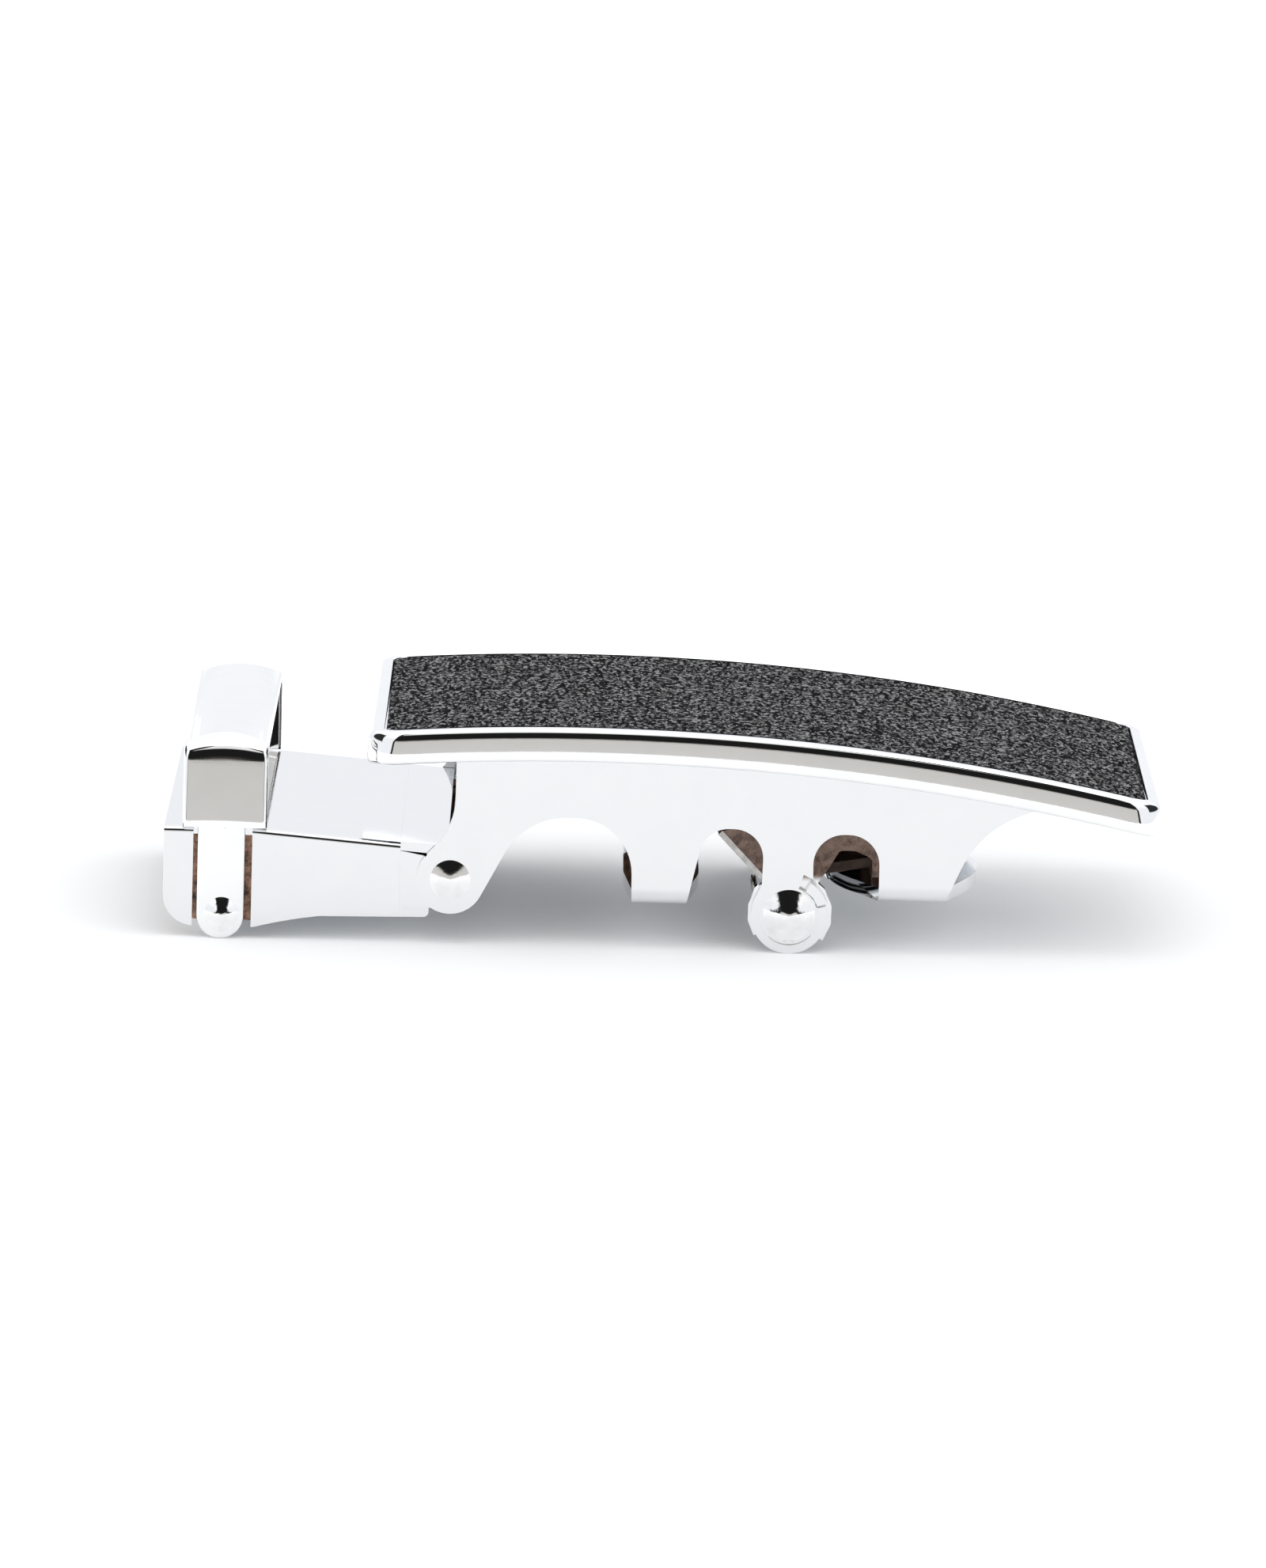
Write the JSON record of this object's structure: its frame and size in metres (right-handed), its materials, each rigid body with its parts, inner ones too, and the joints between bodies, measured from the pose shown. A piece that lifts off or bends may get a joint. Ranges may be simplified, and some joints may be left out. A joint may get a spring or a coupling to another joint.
{
  "type": "ratchet belt buckle",
  "caption": "Curved metal belt buckle with a fabric inlay, a pressed chassis with a sprung pawl, and a hinged strap clamp with a keeper loop.",
  "frame": {"origin": "centre of the bounding box in X and Y, on the plane that the pawl pin ears and the keeper loop legs stand on", "axes": "+X along the belt towards the free end of the face plate, +Z out through the face plate, Y across the belt with the release lever at +Y"},
  "size_m": [0.0766, 0.0436, 0.017],
  "materials": {
    "cast_chrome": "mirror-polished chrome on a zinc casting",
    "sheet_chrome": "bright chrome on pressed steel sheet, darker copper tone inside",
    "pin_chrome": "polished domed rivet heads",
    "copper_strike": "dull copper strike plating, unpolished",
    "charcoal_cloth": "fine heathered wool-blend weave",
    "grey_board": "dense grey backing board",
    "clear_film": "double-sided adhesive film",
    "spring_steel": "drawn spring wire"
  },
  "bodies": {
    "housing": {"face_plate": "cast_chrome", "adhesive_film": "clear_film", "inlay_board": "grey_board", "inlay_fabric": "charcoal_cloth", "chassis": "sheet_chrome", "chassis_rivets": "copper_strike", "hinge_pin": "pin_chrome", "pawl_pin": "pin_chrome", "near_spring": "spring_steel", "far_spring": "spring_steel"},
    "clamp": {"clamp_cover": "sheet_chrome", "clamp_frame": "sheet_chrome", "keeper_loop": "cast_chrome", "clamp_pin": "pin_chrome"},
    "jaw": {"clamp_jaw": "sheet_chrome"},
    "pawl_assembly": {"pawl": "sheet_chrome", "release_lever": "sheet_chrome", "lever_rivet": "pin_chrome"}
  },
  "joints": [
    {"name": "clamp_hinge", "type": "hinge", "parent": "housing", "child": "clamp", "pos_m": [-0.01633, 0, 0.00502], "axis": [0, 1, 0], "range_deg": [-95, 33]},
    {"name": "jaw_hinge", "type": "hinge", "parent": "clamp", "child": "jaw", "pos_m": [-0.0338, 0, 0.00189], "axis": [0, 1, 0], "range_deg": [0, 95]},
    {"name": "pawl_hinge", "type": "hinge", "parent": "housing", "child": "pawl_assembly", "pos_m": [0.00971, 0, 0.00292], "axis": [0, 1, 0], "range_deg": [-12, 0], "stiffness_Nm_per_rad": 0.02, "springref_deg": 28.65, "deforming": ["near_spring", "far_spring"]}
  ]
}
